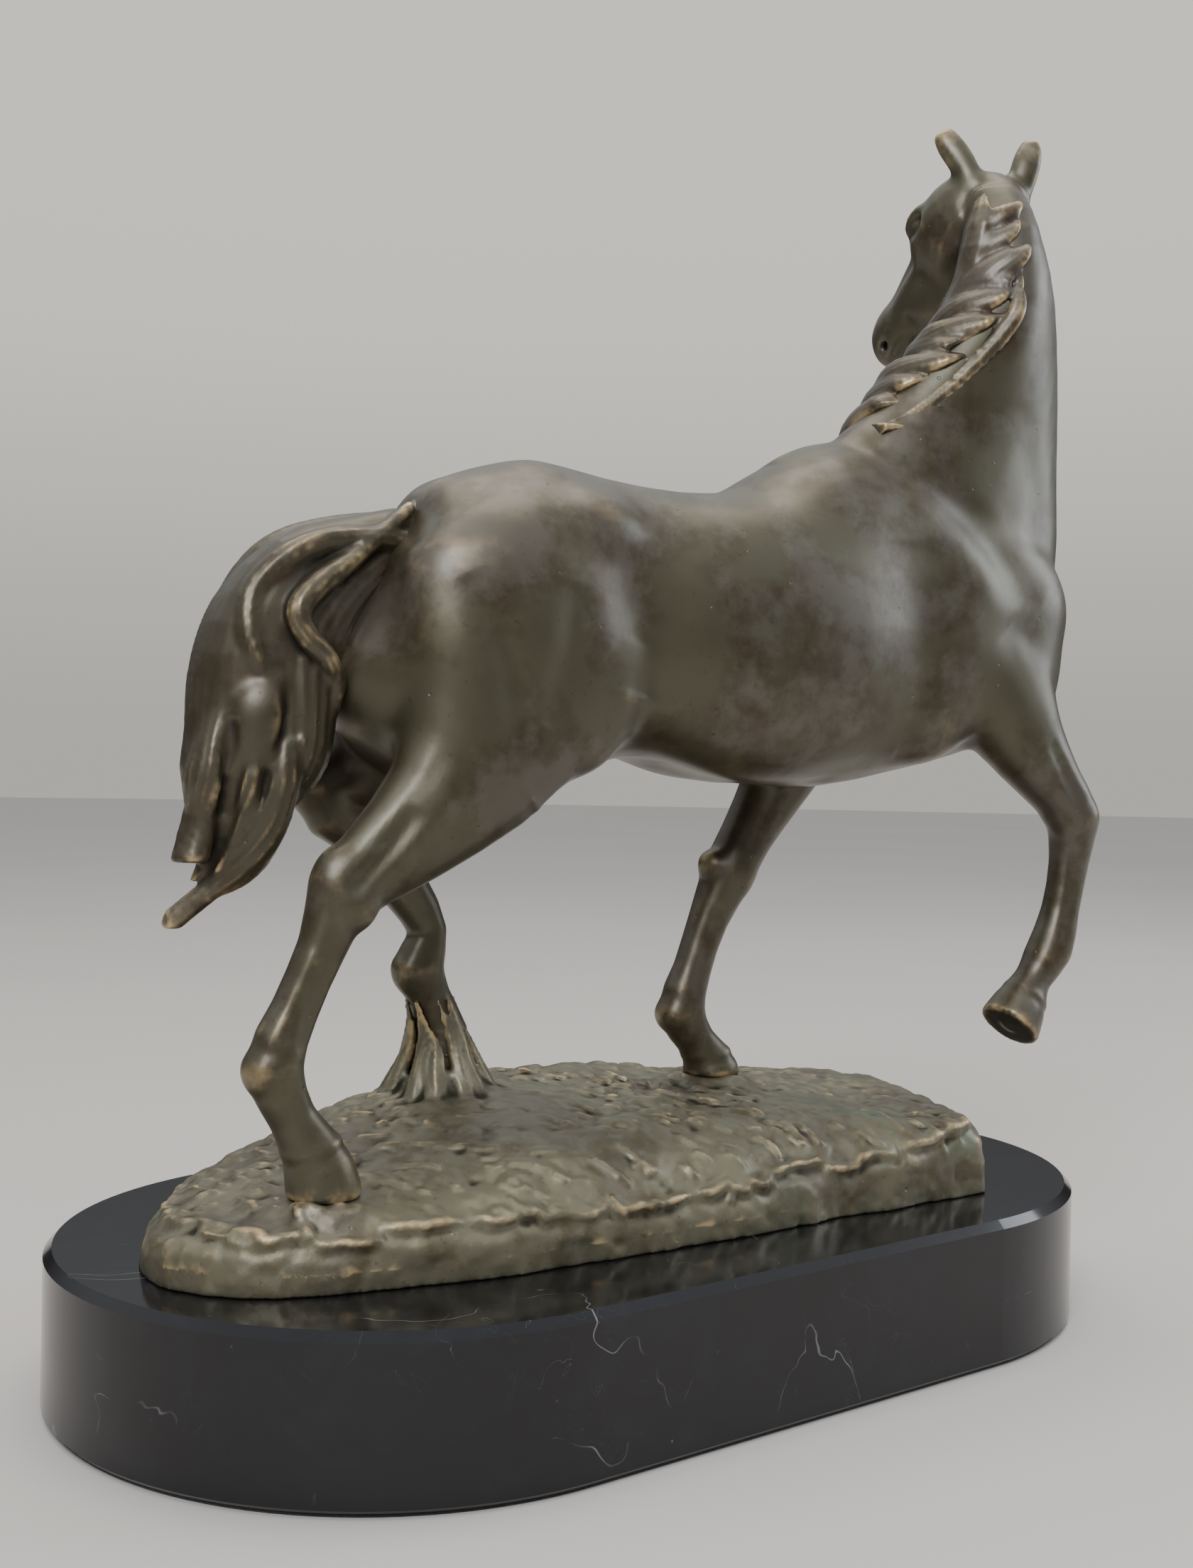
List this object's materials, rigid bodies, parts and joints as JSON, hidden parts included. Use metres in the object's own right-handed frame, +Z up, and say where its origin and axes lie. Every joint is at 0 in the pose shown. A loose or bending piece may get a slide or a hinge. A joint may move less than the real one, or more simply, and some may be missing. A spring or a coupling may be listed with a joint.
{
  "type": "horse statuette",
  "caption": "Free-standing bronze statuette of a walking horse looking back over its shoulder, on rough bronze ground and an oval-ended polished black marble base.",
  "frame": {"origin": "centre of the underside of the felt pad, on the surface the statuette stands on", "axes": "+X along the base, the way the horse walks; +Y to the horse's left, the side it looks to; +Z up"},
  "size_m": [0.268, 0.149, 0.3085],
  "materials": {
    "bronze": "chemical patina in olive brown under wax, semi-gloss",
    "rubbed_bronze": "patina with polished high spots",
    "ground_bronze": "rough cast with brown and green patina",
    "marble": "black marble polished to a mirror, thin grey veins",
    "felt": "pressed wool felt",
    "steel": "zinc plated"
  },
  "bodies": {
    "root": {"felt_pad": "felt", "marble_base": "marble", "ground_casting": "ground_bronze", "ground_bosses": "ground_bronze", "anchor_studs": "steel", "anchor_washers": "steel", "anchor_nuts": "steel", "hoof_pins": "bronze", "seam_dowels": "bronze", "torso_casting": "bronze", "neck_casting": "bronze", "head_casting": "bronze", "left_ear": "bronze", "right_ear": "bronze", "mane_casting": "rubbed_bronze", "tail_casting": "rubbed_bronze", "left_foreleg": "bronze", "right_foreleg": "bronze", "left_hind_leg": "bronze", "right_hind_leg": "bronze"}
  },
  "joints": []
}
